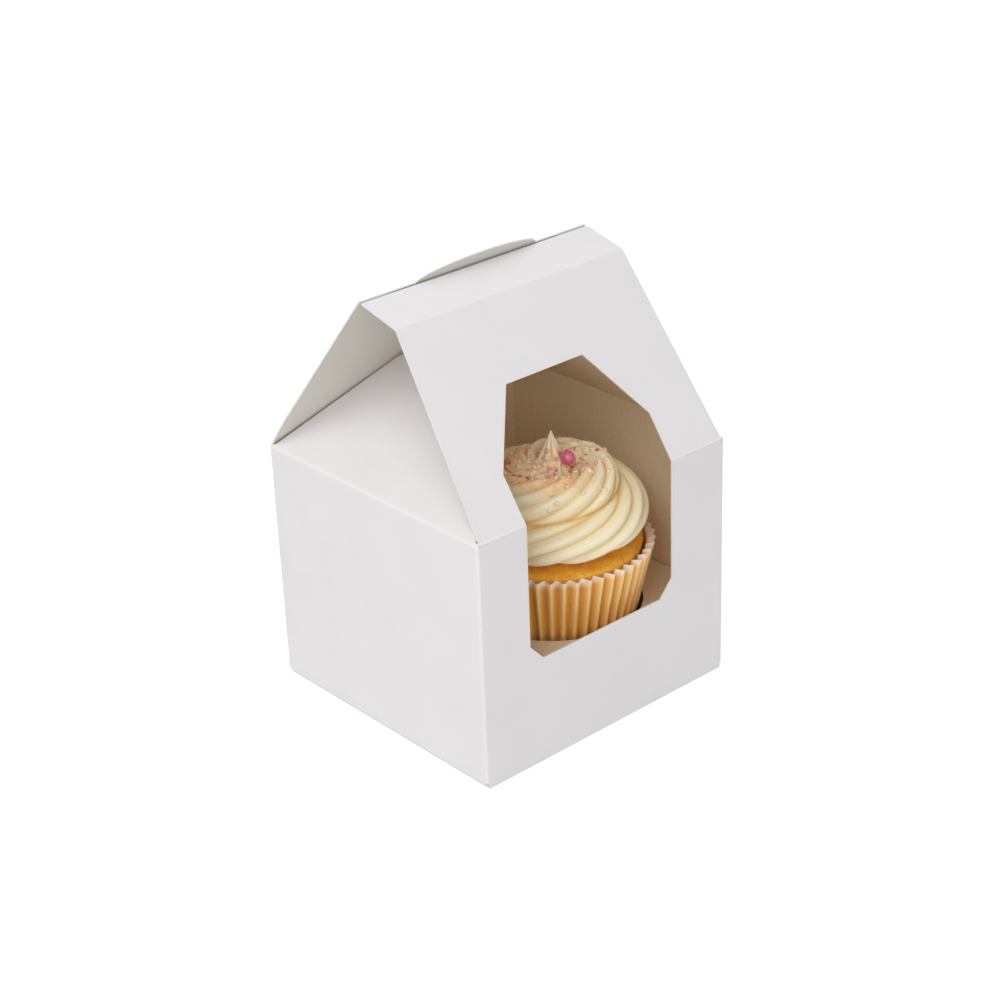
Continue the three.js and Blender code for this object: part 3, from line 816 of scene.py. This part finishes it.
@dataclass
class PaperCup:
    """The pleated baking cup, one skin of paper that follows a rule round its axis."""

    base_radius: float = 19.4
    rim_radius: float = 30.2
    pleats: int = 48
    pleat_steps: int = 10
    rows: int = 22
    depth_base: float = 0.7
    depth_rim: float = 1.6
    paper: float = 0.12
    unevenness: float = 0.45
    rumples: float = 7.0
    join: float = 0.001
    finish: GreaseproofPaper = field(default_factory=GreaseproofPaper)

    def pleat_wave(self, tree: Tree, u: Socket, pleats: Socket) -> Socket:
        """Swings between fold and crest once for every pleat.

        Args:
            tree: The cup's node tree.
            u: Share of the way round.
            pleats: Number of pleats.

        Returns:
            Socket with 1 on a crest and -1 in a fold.
        """
        beat = add_node(tree, "ShaderNodeMath", {0: u, 1: pleats}, operation="MULTIPLY")
        twice = add_node(tree, "ShaderNodeMath", {0: beat, 1: 2.0}, operation="MULTIPLY")
        saw = add_node(tree, "ShaderNodeMath", {0: twice, 1: 1.0}, operation="PINGPONG")
        wave = add_node(tree, "ShaderNodeMapRange",
                        {"Value": saw, "From Min": 0.0, "From Max": 1.0, "To Min": 1.0,
                         "To Max": -1.0}, interpolation_type="SMOOTHSTEP")
        return wave.outputs["Result"]

    def pleat_depth(self, tree: Tree, spot: Socket, climb: Socket,
                    given: dict[str, Socket]) -> Socket:
        """Gives the pleats' depth, which grows to the rim and is uneven round the cup.

        Args:
            tree: The cup's node tree.
            spot: Place on a unit cylinder.
            climb: Share of the way up the wall.
            given: The tree's inputs.

        Returns:
            Socket with the depth in metres.
        """
        rumple = add_node(tree, "ShaderNodeTexNoise",
                          {"Vector": spot, "Scale": self.rumples, "Detail": 2.0})
        rise = add_node(tree, "ShaderNodeMix",
                        {"Factor": climb, "A": given["Depth at base"], "B": given["Depth at rim"]},
                        data_type="FLOAT")
        spread = add_node(tree, "ShaderNodeMath",
                          {0: rumple, 1: given["Unevenness"]}, operation="MULTIPLY")
        share = add_node(tree, "ShaderNodeMath", {0: 1.0, 1: spread}, operation="SUBTRACT")
        depth = add_node(tree, "ShaderNodeMath", {0: rise, 1: share}, operation="MULTIPLY")
        return depth.outputs[0]

    def tree(self, material: bpy.types.Material) -> bpy.types.GeometryNodeTree:
        """Builds the node tree that pleats a flat grid into the cup.

        Args:
            material: Finish of the paper.

        Returns:
            Tree with the cup's sizes as named inputs, in metres.
        """
        tree = modifier_tree("pleated_cup", {
            "Pleats": "Int", "Steps": "Int", "Rows": "Int", "Base radius": "Float",
            "Rim radius": "Float", "Floor": "Float", "Height": "Float",
            "Depth at base": "Float", "Depth at rim": "Float", "Unevenness": "Float"})
        given = tree.nodes.new("NodeGroupInput").outputs
        across = add_node(tree, "ShaderNodeMath",
                          {0: given["Pleats"], 1: given["Steps"]}, operation="MULTIPLY")
        columns = add_node(tree, "ShaderNodeMath", {0: across, 1: 1.0}, operation="ADD")
        grid = add_node(tree, "GeometryNodeMeshGrid",
                        {"Size X": 1.0, "Size Y": 1.0, "Vertices X": columns,
                         "Vertices Y": given["Rows"]})
        spot = add_node(tree, "ShaderNodeSeparateXYZ",
                        {0: tree.nodes.new("GeometryNodeInputPosition").outputs[0]})
        u = add_node(tree, "ShaderNodeMath", {0: spot.outputs[0], 1: 0.5}, operation="ADD")
        v = add_node(tree, "ShaderNodeMath", {0: spot.outputs[1], 1: 0.5}, operation="ADD")
        angle = add_node(tree, "ShaderNodeMath", {0: u, 1: 2 * math.pi}, operation="MULTIPLY")
        # The first row is the middle of the floor and the second one its edge
        share = 1 / (self.rows - 1)
        climb = add_node(tree, "ShaderNodeMapRange",
                         {"Value": v, "From Min": share, "From Max": 1.0})
        open_out = add_node(tree, "ShaderNodeMapRange",
                            {"Value": v, "From Min": 0.0, "From Max": share})
        cosine = add_node(tree, "ShaderNodeMath", {0: angle}, operation="COSINE")
        sine = add_node(tree, "ShaderNodeMath", {0: angle}, operation="SINE")
        round_spot = add_node(tree, "ShaderNodeCombineXYZ", {0: cosine, 1: sine, 2: climb})
        pleat = self.pleat_wave(tree, u.outputs[0], given["Pleats"])
        depth = self.pleat_depth(tree, round_spot.outputs[0], climb.outputs["Result"], given)
        wall = add_node(tree, "ShaderNodeMix",
                        {"Factor": climb, "A": given["Base radius"], "B": given["Rim radius"]},
                        data_type="FLOAT")
        swing = add_node(tree, "ShaderNodeMath",
                         {0: depth, 1: pleat, 2: wall}, operation="MULTIPLY_ADD")
        radius = add_node(tree, "ShaderNodeMath", {0: swing, 1: open_out}, operation="MULTIPLY")
        x = add_node(tree, "ShaderNodeMath", {0: radius, 1: cosine}, operation="MULTIPLY")
        y = add_node(tree, "ShaderNodeMath", {0: radius, 1: sine}, operation="MULTIPLY")
        z = add_node(tree, "ShaderNodeMath",
                     {0: climb, 1: given["Height"], 2: given["Floor"]}, operation="MULTIPLY_ADD")
        target = add_node(tree, "ShaderNodeCombineXYZ", {0: x, 1: y, 2: z})
        marked = add_node(tree, "GeometryNodeStoreNamedAttribute",
                          {"Geometry": grid, "Name": "pleat", "Value": pleat}, data_type="FLOAT",
                          domain="POINT")
        placed = add_node(tree, "GeometryNodeSetPosition",
                          {"Geometry": marked, "Position": target})
        joined = add_node(tree, "GeometryNodeMergeByDistance",
                          {"Geometry": placed, "Distance": self.join * MM})
        real = add_node(tree, "GeometryNodeRealizeInstances", {0: joined})
        dressed = add_node(tree, "GeometryNodeSetMaterial",
                           {"Geometry": real, "Material": material})
        add_node(tree, "NodeGroupOutput", {0: dressed})
        return tree

    def build(self) -> bpy.types.Object:
        """Builds the cup: pleats from the tree, then the paper's thickness.

        Returns:
            The cup, in place of the CAD's.
        """
        values = {"Pleats": self.pleats, "Steps": self.pleat_steps, "Rows": self.rows,
                  "Base radius": self.base_radius * MM, "Rim radius": self.rim_radius * MM,
                  "Floor": CUP_FLOOR * MM, "Height": CUP_HEIGHT * MM,
                  "Depth at base": self.depth_base * MM, "Depth at rim": self.depth_rim * MM,
                  "Unevenness": self.unevenness}
        mesh = grown("cup_maker", bpy.data.meshes.new("cup_maker"),
                     self.tree(self.finish.make()), values)
        mesh.transform(Matrix.Translation((CAKE_X * MM, CAKE_Y * MM, 0)))
        paper = bmesh.new()
        paper.from_mesh(mesh)
        bmesh.ops.solidify(paper, geom=paper.faces[:], thickness=self.paper * MM)
        paper.to_mesh(mesh)
        paper.free()
        mesh.shade_smooth()
        return show("paper_cup", mesh, ("cup",))


@dataclass
class Sponge:
    """The baked cake in the cup, whose crown shows between the rim and the cream."""

    foot: float = 2.5
    foot_radius: float = 17.9
    foot_rings: tuple[float, ...] = (0.3, 0.7, 1.0)
    shoulder: float = 48.5
    side_radius: float = 27.55
    side_rows: int = 12
    top: float = 53.0
    crown_rows: int = 22
    dome: float = 0.35
    crown_power: float = 1.6
    bulge: float = 0.5
    steps: int = 160
    lumps: float = 0.16
    lump_size: float = 2.4
    crust_depth: float = 2.0
    finish: SpongeCake = field(default_factory=SpongeCake)

    def profile(self) -> list[tuple[float, float]]:
        """Gives the outline from foot to top.

        Returns:
            Radius and height of each ring, in mm.
        """
        points = [(self.foot_radius * s, self.foot) for s in self.foot_rings]
        for i in range(1, self.side_rows + 1):
            t = i / self.side_rows
            points.append((self.foot_radius + (self.side_radius - self.foot_radius) * t,
                           self.foot + (self.shoulder - self.foot) * t))
        crown = self.top - self.shoulder
        for i in range(1, self.crown_rows):
            t = i / self.crown_rows
            a = math.pi / 2 * t
            r = self.side_radius * (self.dome * math.cos(a)
                                    + (1 - self.dome) * (1 - t ** self.crown_power))
            points.append((r + self.bulge * math.sin(2 * a), self.shoulder + crown * math.sin(a)))
        return points

    def build(self) -> bpy.types.Object:
        """Builds the cake with an uneven crust.

        Returns:
            The cake, in place of the CAD's.
        """
        rings = []
        crust = self.shoulder - self.crust_depth
        for r, z in self.profile():
            ring = []
            for k in range(self.steps):
                a = 2 * math.pi * k / self.steps
                p = Vector((r * math.cos(a), r * math.sin(a), z))
                swell = self.lumps * noise.noise(p / self.lump_size) if z > crust else 0
                scale = (r + swell) / r
                ring.append(((p.x * scale + CAKE_X) * MM, (p.y * scale + CAKE_Y) * MM,
                             min(self.top, z + swell) * MM))
            rings.append(ring)
        mesh = closed_rings("sponge", np.array(rings))
        mesh.materials.append(self.finish.make())
        return show("sponge_cake", mesh, ("sponge",))


@dataclass
class Frosting:
    """Cream piped with a star nozzle: a rope that coils inwards and ends in a peak."""

    floor: float = 53.3
    radius: float = 28.6
    height: float = 31.9
    ridges_a_turn: float = 12.5
    ridge: float = 2.6
    ridge_lead: float = 64.0
    rope: float = 1.8
    rope_lead: float = 19.0
    rope_start: float = -46.4
    ridge_power: float = 0.85
    rope_power: float = 0.8
    sunk: float = 0.7
    unevenness: float = 0.3
    sways: tuple[tuple[int, float, float], ...] = ((2, 1.3, 1.0), (5, 2.1, 0.6))
    flutes: int = 6
    flute_depth: float = 0.42
    flute_sunk: float = 0.6
    flute_twist: float = 9.0
    tip_from: float = 0.78
    tip_blend: float = 0.08
    edge: float = 12.0
    foot_relief: float = 0.55
    foot_blend: float = 30.0
    narrowest: float = 0.5
    relief_shares: tuple[float, float] = (0.7, 0.3)
    end_relief: tuple[float, float] = (0.5, 0.8)
    knot_steps: int = 60
    steps: int = 350
    rows: int = 240
    outline: tuple[tuple[float, float], ...] = (
        (0.77, 0.0), (0.95, 0.025), (1.0, 0.17), (0.951, 0.31), (0.86, 0.439),
        (0.741, 0.564), (0.615, 0.665), (0.49, 0.702), (0.332, 0.677), (0.196, 0.665),
        (0.105, 0.765), (0.045, 0.897), (0.005, 1.0))
    finish: Buttercream = field(default_factory=Buttercream)

    def line(self) -> tuple[np.ndarray, np.ndarray, float]:
        """Runs a smooth curve through the outline.

        Returns:
            Points at even steps, the direction at each, and the curve's length, in mm.
        """
        knots = np.array(self.outline) * (self.radius, self.height)
        knots = np.vstack([knots[0], knots, knots[-1]])
        t = np.linspace(0, 1, self.knot_steps, endpoint=False)[:, None]
        parts = []
        for a, b, c, d in zip(knots, knots[1:], knots[2:], knots[3:]):
            parts.append(0.5 * (2 * b + (c - a) * t + (2 * a - 5 * b + 4 * c - d) * t ** 2
                                + (3 * b - a - 3 * c + d) * t ** 3))
        dense = np.vstack([*parts, knots[-1:]])
        run = np.concatenate([[0], np.cumsum(np.linalg.norm(np.diff(dense, axis=0), axis=1))])
        even = np.linspace(0, run[-1], self.rows)
        points = np.stack([np.interp(even, run, dense[:, i]) for i in (0, 1)], axis=1)
        way = np.gradient(points, axis=0)
        return points, way / np.linalg.norm(way, axis=1, keepdims=True), float(run[-1])

    def surface(self) -> tuple[np.ndarray, np.ndarray]:
        """Swells the outline into ridges and rope.

        Returns:
            Points as rows, steps and x, y, z in metres, and the height in the relief, 0 to 1.
        """
        points, way, length = self.line()
        t = np.linspace(0, 1, self.rows)[:, None]
        travel = t * length
        angle = np.linspace(0, 2 * np.pi, self.steps, endpoint=False)[None, :]
        r, z = points[:, :1], points[:, 1:]
        # Each turn of the rope lies half a ridge out of step with the turn below
        coil = angle - 2 * np.pi * travel / self.rope_lead + math.radians(self.rope_start)
        rope = np.abs(np.cos(coil / 2)) ** self.rope_power
        turn = np.floor(coil / (2 * np.pi) + 0.5)
        spin = angle - 2 * np.pi * travel / self.ridge_lead
        sway = sum(weight * np.sin(waves * angle + lag * turn)
                   for waves, lag, weight in self.sways)
        phase = self.ridges_a_turn * spin + np.pi * turn + self.unevenness * sway
        ridge = np.abs(np.sin(phase / 2)) ** self.ridge_power * np.sqrt(rope)
        # The star's points pull up into flutes on the peak
        flute = np.abs(np.cos(self.flutes * angle / 2 + travel / self.flute_twist))
        tip = np.clip((travel - self.tip_from * length) / (self.tip_blend * length), 0, 1)
        foot = np.minimum(1, self.foot_relief + t * self.foot_blend)
        fade = np.minimum(1, r / self.edge) * foot
        swell = fade * (self.ridge * (ridge - self.sunk) + self.rope * (rope - self.sunk))
        swell = swell * (1 - tip) + tip * self.flute_depth * r * (flute - self.flute_sunk)
        wide = np.maximum(r * self.narrowest, r + way[:, 1:] * swell)
        high = z - way[:, :1] * swell + self.floor
        rings = np.stack([CAKE_X + wide * np.cos(angle), CAKE_Y + wide * np.sin(angle),
                          high + 0 * angle], axis=2) * MM
        of_ridge, of_rope = self.relief_shares
        relief = (1 - tip) * (of_ridge * ridge + of_rope * rope) + tip * flute
        return rings, np.clip(relief, 0, 1)

    def build(self) -> bpy.types.Object:
        """Builds the cream with its relief kept for the finish.

        Returns:
            The cream, in place of the CAD's.
        """
        rings, relief = self.surface()
        mesh = closed_rings("frosting", rings)
        values = np.concatenate([relief.ravel(), self.end_relief]).astype(np.float32)
        mesh.attributes.new("crest", "FLOAT", "POINT").data.foreach_set("value", values)
        mesh.materials.append(self.finish.make())
        return show("piped_frosting", mesh, ("frosting",))


@dataclass
class Pearl:
    """The pink sugar pearl beside the peak."""

    x: float = 10.5
    y: float = -20.7
    z: float = 77.88
    radius: float = 2.25
    flats: float = 0.015
    flat_size: float = 1.8
    fineness: int = 5
    finish: SugarGlaze = SugarGlaze("pearl_sugar", "#E4709A", "#D0527E", 0.28, 0.6, 3.0)

    def build(self) -> bpy.types.Object:
        """Builds the pearl with the slight flats of a tumbled ball.

        Returns:
            The pearl, in place of the CAD's.
        """
        ball = bmesh.new()
        bmesh.ops.create_icosphere(ball, subdivisions=self.fineness, radius=self.radius * MM)
        for point in ball.verts:
            point.co *= 1 - self.flats * max(0.0, noise.noise(point.co / (self.flat_size * MM)))
        bmesh.ops.translate(ball, verts=ball.verts[:],
                            vec=Vector((self.x, self.y, self.z)) * MM)
        mesh = closed_mesh("pearl", ball)
        mesh.shade_smooth()
        mesh.materials.append(self.finish.make())
        return show("sugar_pearl", mesh, ("pearl",))


@dataclass
class Sprinkles:
    """Sugar crumbs of one kind, strewn over the top of the cream."""

    kind: SprinkleKind
    seed: int
    number: float
    size: float
    ring_radius: float = 7.5
    ring_width: float = 7.0
    lowest: float = 66.0
    peak_radius: float = 2.2
    least_scale: tuple[float, float, float] = (0.75, 0.75, 0.55)
    most_scale: tuple[float, float, float] = (1.45, 1.2, 1.0)
    fineness: int = 2

    def strewn(self, cream: bpy.types.Mesh) -> np.ndarray:
        """Says how thickly the crumbs lie at each point of the cream.

        Args:
            cream: The cream's mesh.

        Returns:
            Share of the full density at each point.
        """
        place = np.empty(len(cream.vertices) * 3, np.float32)
        cream.vertices.foreach_get("co", place)
        place = place.reshape(-1, 3) / MM
        reach = np.hypot(place[:, 0] - CAKE_X, place[:, 1] - CAKE_Y)
        ring = np.exp(-((reach - self.ring_radius) / self.ring_width) ** 2)
        above = place[:, 2] > self.lowest
        return (ring * above * (reach > self.peak_radius)).astype(np.float32)

    def tree(self, material: bpy.types.Material) -> bpy.types.GeometryNodeTree:
        """Builds the node tree that strews crumbs over a surface.

        Args:
            material: Finish of the crumbs.

        Returns:
            Tree with density, seed and crumb size as named inputs.
        """
        tree = modifier_tree(f"strewn_{self.kind.value.name}",
                             {"Density": "Float", "Seed": "Int", "Crumb radius": "Float"})
        given = tree.nodes.new("NodeGroupInput").outputs
        share = add_node(tree, "GeometryNodeInputNamedAttribute",
                         {"Name": "strewn"}, data_type="FLOAT")
        dense = add_node(tree, "ShaderNodeMath",
                         {0: share, 1: given["Density"]}, operation="MULTIPLY")
        spots = add_node(tree, "GeometryNodeDistributePointsOnFaces",
                         {"Mesh": given["Geometry"], "Density": dense, "Seed": given["Seed"]})
        crumb = add_node(tree, "GeometryNodeMeshIcoSphere",
                         {"Radius": given["Crumb radius"], "Subdivisions": self.fineness})
        smooth = add_node(tree, "GeometryNodeSetShadeSmooth", {0: crumb})
        size = add_node(tree, "FunctionNodeRandomValue",
                        {"Min": self.least_scale, "Max": self.most_scale, "Seed": given["Seed"]},
                        data_type="FLOAT_VECTOR")
        laid = add_node(tree, "GeometryNodeInstanceOnPoints",
                        {"Points": spots.outputs["Points"], "Instance": smooth,
                         "Rotation": spots.outputs["Rotation"], "Scale": size})
        real = add_node(tree, "GeometryNodeRealizeInstances", {0: laid})
        dressed = add_node(tree, "GeometryNodeSetMaterial",
                           {"Geometry": real, "Material": material})
        add_node(tree, "NodeGroupOutput", {0: dressed})
        return tree

    def build(self, cream: bpy.types.Object) -> bpy.types.Object:
        """Strews the crumbs on the cream.

        Args:
            cream: The finished cream.

        Returns:
            The crumbs as one piece.
        """
        bed = cream.data.copy()
        layer = bed.attributes.new("strewn", "FLOAT", "POINT")
        layer.data.foreach_set("value", self.strewn(bed))
        mesh = grown("sprinkle_maker", bed, self.tree(self.kind.value.make()),
                     {"Density": self.number / MM ** 2, "Seed": self.seed,
                      "Crumb radius": self.size * MM})
        return show(f"sprinkles_{self.kind.name.lower()}", mesh)


# Studio


@dataclass
class Studio:
    """White floor, even white surroundings and three large soft lamps."""

    floor_colour: str = "#F1F1F1"
    floor_size: float = 8.0
    floor_drop: float = 0.1
    floor_lift: float = 0.45
    far_lift: float = 0.6
    far_from: float = 0.45
    far_to: float = 1.6
    surround: float = 0.44
    bounces: int = 8
    lamp_far: float = 1.3
    lamp_aim: float = 0.06
    lamp_size: float = 0.9
    lamps: tuple[tuple[str, tuple[float, float, float], float], ...] = (
        ("high_soft_box", (-0.561, -0.142, 0.816), 6.6),
        ("front_soft_box", (-0.50, -0.72, 0.48), 3.9),
        ("back_soft_box", (0.30, 0.50, 0.81), 2.0))

    def seen_directly(self, tree: Tree) -> Socket:
        """Gives 1 for rays from the lens, from gloss and through glass, otherwise 0.

        Args:
            tree: Node tree that asks.

        Returns:
            Socket with 1 or 0.
        """
        path = add_node(tree, "ShaderNodeLightPath")
        first = add_node(tree, "ShaderNodeMath",
                         {0: path.outputs["Is Camera Ray"], 1: path.outputs["Is Glossy Ray"]},
                         operation="MAXIMUM")
        both = add_node(tree, "ShaderNodeMath",
                        {0: first, 1: path.outputs["Is Transmission Ray"]}, operation="MAXIMUM")
        return both.outputs[0]

    def floor(self) -> None:
        """Lays the floor, which reads white and keeps the carton's shadow."""
        half = self.floor_size / 2
        mesh = bpy.data.meshes.new("floor")
        z = -self.floor_drop * MM
        mesh.from_pydata([(-half, -half, z), (half, -half, z), (half, half, z),
                          (-half, half, z)], [], [(0, 1, 2, 3)])
        floor = link("floor", mesh)
        material, tree = empty_material("matt_paper_floor")
        matt = add_node(tree, "ShaderNodeBsdfDiffuse", {"Color": linear(self.floor_colour)})
        # Far from the carton the floor turns pure white and hides its own edge
        far = add_node(tree, "ShaderNodeVectorMath",
                       {0: add_node(tree, "ShaderNodeTexCoord").outputs["Object"]},
                       operation="LENGTH")
        glare = add_node(tree, "ShaderNodeMapRange",
                         {"Value": far, "From Min": self.far_from, "From Max": self.far_to,
                          "To Min": self.floor_lift, "To Max": self.floor_lift + self.far_lift})
        lift = add_node(tree, "ShaderNodeMath",
                        {0: self.seen_directly(tree), 1: glare}, operation="MULTIPLY")
        glow = add_node(tree, "ShaderNodeEmission", {"Strength": lift})
        both = add_node(tree, "ShaderNodeAddShader", {0: matt, 1: glow})
        add_node(tree, "ShaderNodeOutputMaterial", {"Surface": both})
        mesh.materials.append(material)

    def surroundings(self) -> None:
        """Sets the even light round the object and the white backdrop."""
        world = bpy.data.worlds.new("studio")
        world.use_nodes = True
        tree = world.node_tree
        tree.nodes.clear()
        light = add_node(tree, "ShaderNodeBackground", {"Strength": self.surround})
        white = add_node(tree, "ShaderNodeBackground", {"Strength": 1.0})
        for node in (light, white):
            node.inputs["Color"].default_value = (1, 1, 1, 1)
        mixed = add_node(tree, "ShaderNodeMixShader",
                         {0: self.seen_directly(tree), 1: light, 2: white})
        add_node(tree, "ShaderNodeOutputWorld", {"Surface": mixed})
        bpy.context.scene.world = world

    def hang_lamps(self) -> None:
        """Hangs the soft lamps: high on the left, in front and behind."""
        for name, aim, power in self.lamps:
            data = bpy.data.lights.new(name, "AREA")
            data.shape, data.size, data.energy = "SQUARE", self.lamp_size, power
            lamp = link(name, data)
            way = Vector(aim).normalized()
            lamp.location = way * self.lamp_far + Vector((0, 0, self.lamp_aim))
            lamp.rotation_mode = "QUATERNION"
            lamp.rotation_quaternion = way.to_track_quat("Z", "Y")

    def build(self) -> None:
        """Sets up floor, surroundings and lamps."""
        self.floor()
        self.surroundings()
        self.hang_lamps()
        bpy.context.scene.view_settings.view_transform = "Standard"
        bpy.context.scene.cycles.diffuse_bounces = self.bounces
        LOG.info("studio: floor, surroundings and %d lamps", len(self.lamps))


@dataclass
class Viewpoint:
    """The camera at the photograph's viewing angle."""

    azimuth: float = -40.98
    elevation: float = 26.51
    roll: float = -2.17
    shift_x: float = -2.08
    shift_y: float = 6.32
    distance: float = 687.2
    target: tuple[float, float, float] = (0.0, 1.83, 66.67)
    lens: float = 80.52
    sensor: float = 36.0
    nearest: float = 0.01
    farthest: float = 20.0

    def build(self) -> None:
        """Places the camera."""
        a, e, w = (math.radians(v) for v in (self.azimuth, self.elevation, self.roll))
        back = Vector((math.sin(a) * math.cos(e), -math.cos(a) * math.cos(e), math.sin(e)))
        right = Vector((math.cos(a), math.sin(a), 0))
        up = back.cross(right)
        across = right * math.cos(w) + up * math.sin(w)
        along = up * math.cos(w) - right * math.sin(w)
        turn = Matrix((across, along, back)).transposed()
        place = Vector(self.target) + turn @ Vector((-self.shift_x, -self.shift_y,
                                                     self.distance))
        data = bpy.data.cameras.new("camera")
        data.sensor_width, data.lens = self.sensor, self.lens
        data.clip_start, data.clip_end = self.nearest, self.farthest
        camera = link("camera", data)
        camera.matrix_world = Matrix.Translation(place * MM) @ turn.to_4x4()
        bpy.context.scene.camera = camera
        LOG.info("camera: %.0f mm from the carton", self.distance)


def main() -> None:
    """Builds the object and the studio."""
    logging.basicConfig(level=logging.INFO, format="%(name)s %(message)s")
    Viewpoint().build()
    Carton().build()
    Insert().build()
    PaperCup().build()
    Sponge().build()
    cream = Frosting().build()
    Pearl().build()
    for kind, seed, number, size in ((SprinkleKind.ROSE, 3, 0.04, 0.66),
                                     (SprinkleKind.BLUSH, 8, 0.10, 0.74),
                                     (SprinkleKind.CREAM, 21, 0.16, 0.82)):
        Sprinkles(kind, seed, number, size).build(cream)
    Studio().build()


if __name__ == "__main__":
    main()
